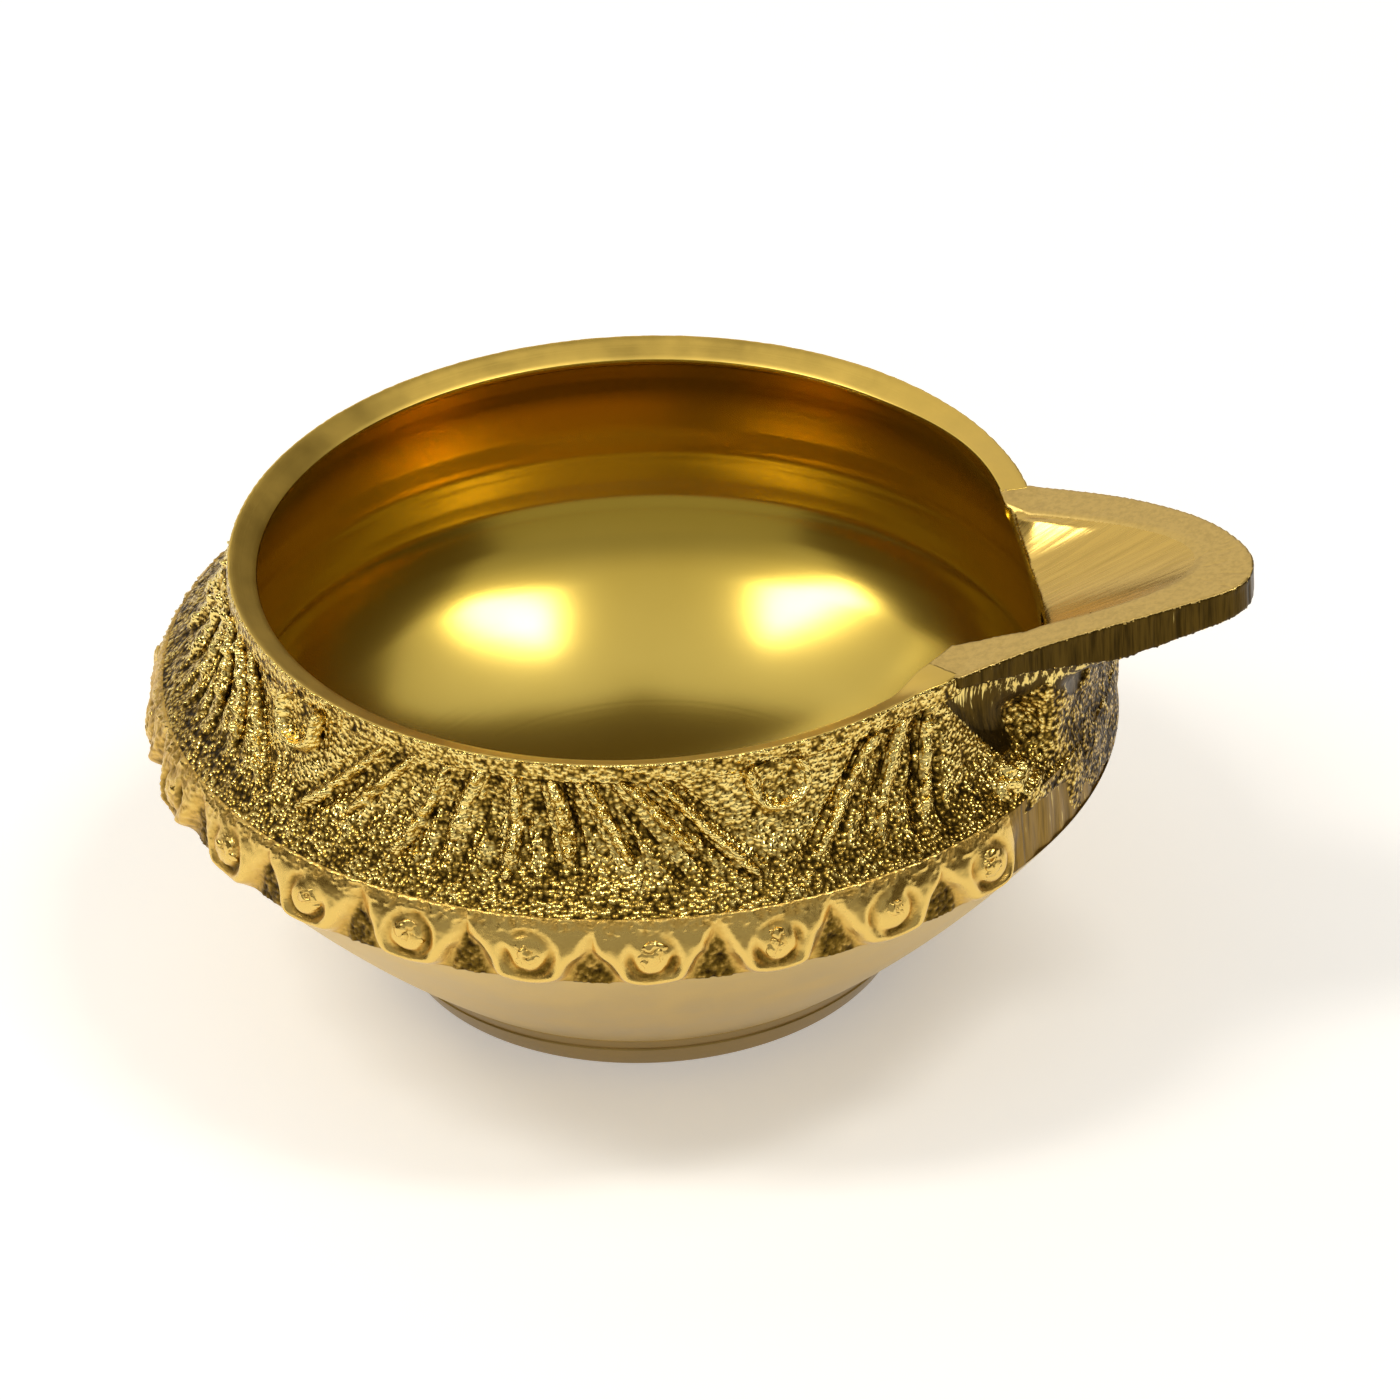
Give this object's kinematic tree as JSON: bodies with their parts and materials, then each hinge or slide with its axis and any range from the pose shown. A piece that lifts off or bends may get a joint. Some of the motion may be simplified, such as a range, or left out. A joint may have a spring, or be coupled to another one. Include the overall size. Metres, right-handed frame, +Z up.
{
  "type": "oil lamp",
  "caption": "Small cast brass oil lamp (diya): round footed bowl with a flared leaf-relief shoulder, a beaded petal belt, a turned lip and a raised pointed spout for the wick.",
  "frame": {"origin": "centre of the foot's flat underside, on the turning axis", "axes": "+Z up along the turning axis, +X along the spout's centre line"},
  "size_m": [0.0757, 0.0668, 0.034],
  "materials": {
    "turned_brass": "lathe turned, polished inside the bowl and satin on the lip, cone and foot",
    "polished_brass": "cast, then buffed bright on the high places",
    "cast_brass": "as cast in sand, grainy, dark in the hollows",
    "filed_brass": "hand filed, fine parallel scratches"
  },
  "bodies": {
    "root": {"foot": "turned_brass", "bowl": "turned_brass", "belt": "polished_brass", "petal_band": "polished_brass", "beads": "polished_brass", "shoulder": "cast_brass", "leaf_ribs": "cast_brass", "rim_drops": "cast_brass", "rim_lip": "turned_brass", "spout": "filed_brass", "spout_throat": "cast_brass"}
  },
  "joints": []
}
